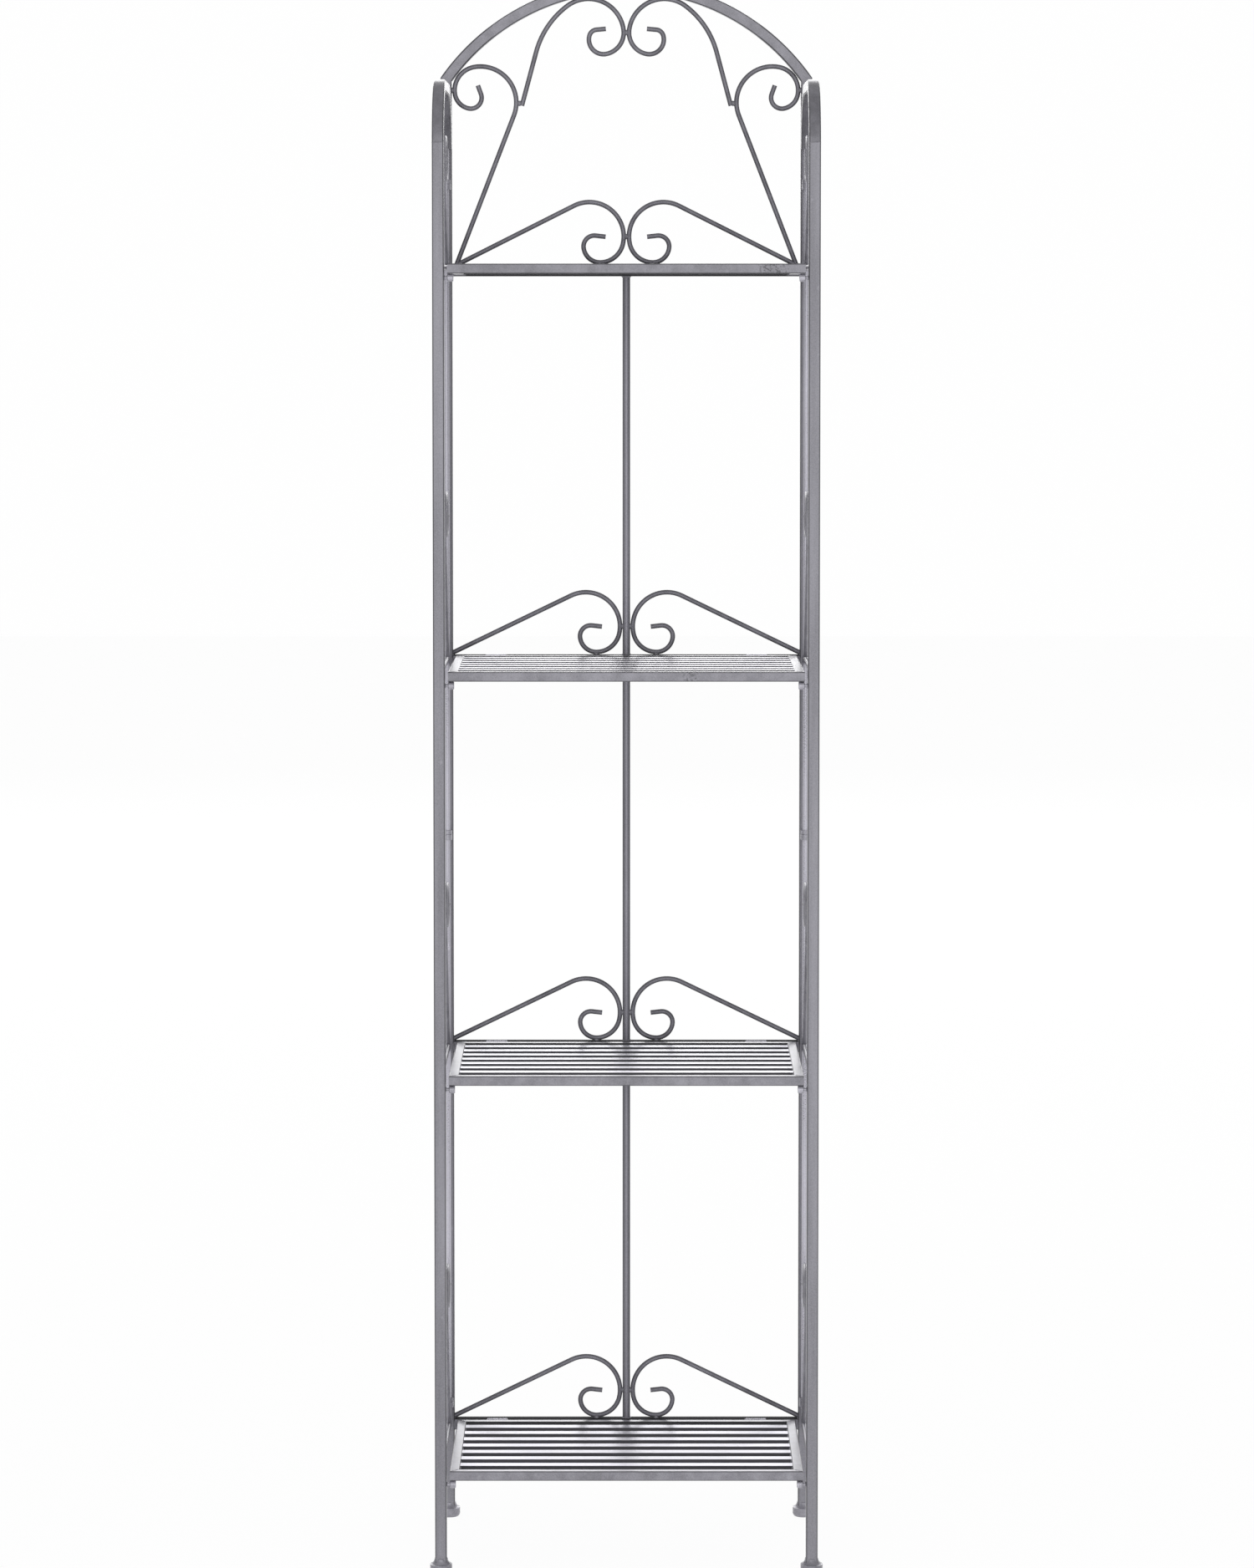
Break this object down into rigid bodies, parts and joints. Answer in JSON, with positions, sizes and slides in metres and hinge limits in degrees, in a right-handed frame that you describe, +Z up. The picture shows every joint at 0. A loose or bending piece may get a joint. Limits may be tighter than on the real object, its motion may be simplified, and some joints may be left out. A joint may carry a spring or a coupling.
{
  "type": "folding metal shelving unit",
  "caption": "Tall free-standing metal shelf: arched back panel with scrollwork, hinged side frames and slatted shelves that lift up on rear hinges.",
  "frame": {"origin": "on the floor, under the middle of the unit's outline", "axes": "+X to the viewer's right, front towards -Y, +Z up"},
  "size_m": [0.405, 0.263, 1.648],
  "materials": {
    "frame_paint": "satin silver-grey paint on square tube",
    "scroll_paint": "satin silver-grey paint on round rod",
    "shelf_paint": "satin silver-grey paint on rails and slats",
    "hinge_paint": "satin paint, thin on the moving edges",
    "foot_paint": "satin paint on round steel feet"
  },
  "bodies": {
    "back_panel": {"back_arch": "frame_paint", "back_centre_rod_1": "scroll_paint", "back_centre_rod_2": "scroll_paint", "back_centre_rod_3": "scroll_paint", "back_crossbar_1": "frame_paint", "back_crossbar_2": "frame_paint", "back_crossbar_3": "frame_paint", "back_crossbar_4": "frame_paint", "back_foot_left": "foot_paint", "back_foot_right": "foot_paint", "back_scrolls_1": "scroll_paint", "back_scrolls_2": "scroll_paint", "back_scrolls_3": "scroll_paint", "back_scrolls_4": "scroll_paint", "back_upright_left": "frame_paint", "back_upright_right": "frame_paint", "back_weld_beads": "scroll_paint", "crossbar_hinge_knuckles_1": "hinge_paint", "crossbar_hinge_knuckles_2": "hinge_paint", "crossbar_hinge_knuckles_3": "hinge_paint", "crossbar_hinge_knuckles_4": "hinge_paint", "shelf_hinge_pins": "hinge_paint", "side_hinge_eyes_left": "hinge_paint", "side_hinge_eyes_right": "hinge_paint", "top_crown_scrolls": "scroll_paint", "top_side_curls": "scroll_paint"},
    "left_side": {"left_crossbars": "scroll_paint", "left_end_plug": "hinge_paint", "left_front_foot": "foot_paint", "left_front_upright": "frame_paint", "left_hinge_collars": "hinge_paint", "left_hinge_rod": "scroll_paint", "left_scrolls": "scroll_paint", "left_shelf_pegs": "hinge_paint", "left_top_arch": "frame_paint", "left_weld_beads": "scroll_paint"},
    "right_side": {"right_crossbars": "scroll_paint", "right_end_plug": "hinge_paint", "right_front_foot": "foot_paint", "right_front_upright": "frame_paint", "right_hinge_collars": "hinge_paint", "right_hinge_rod": "scroll_paint", "right_scrolls": "scroll_paint", "right_shelf_pegs": "hinge_paint", "right_top_arch": "frame_paint", "right_weld_beads": "scroll_paint"},
    "shelf_1": {"shelf_1_frame": "shelf_paint", "shelf_1_hinge_knuckles": "hinge_paint", "shelf_1_slats": "shelf_paint"},
    "shelf_2": {"shelf_2_frame": "shelf_paint", "shelf_2_hinge_knuckles": "hinge_paint", "shelf_2_slats": "shelf_paint"},
    "shelf_3": {"shelf_3_frame": "shelf_paint", "shelf_3_hinge_knuckles": "hinge_paint", "shelf_3_slats": "shelf_paint"},
    "shelf_4": {"shelf_4_frame": "shelf_paint", "shelf_4_hinge_knuckles": "hinge_paint", "shelf_4_slats": "shelf_paint"}
  },
  "joints": [
    {"name": "left_side_swing", "type": "hinge", "parent": "back_panel", "child": "left_side", "pos_m": [-0.191, 0.10501, 0.788], "axis": [0, 0, -1], "range_deg": [0, 90]},
    {"name": "right_side_swing", "type": "hinge", "parent": "back_panel", "child": "right_side", "pos_m": [0.191, 0.10501, 0.788], "axis": [0, 0, 1], "range_deg": [0, 90]},
    {"name": "shelf_1_lift", "type": "hinge", "parent": "back_panel", "child": "shelf_1", "pos_m": [0, 0.1119, 1.3465], "axis": [-1, 0, 0], "range_deg": [0, 90]},
    {"name": "shelf_2_lift", "type": "hinge", "parent": "back_panel", "child": "shelf_2", "pos_m": [0, 0.1119, 0.9313], "axis": [-1, 0, 0], "range_deg": [0, 90]},
    {"name": "shelf_3_lift", "type": "hinge", "parent": "back_panel", "child": "shelf_3", "pos_m": [0, 0.1119, 0.5161], "axis": [-1, 0, 0], "range_deg": [0, 90]},
    {"name": "shelf_4_lift", "type": "hinge", "parent": "back_panel", "child": "shelf_4", "pos_m": [0, 0.1119, 0.1061], "axis": [-1, 0, 0], "range_deg": [0, 90]}
  ]
}
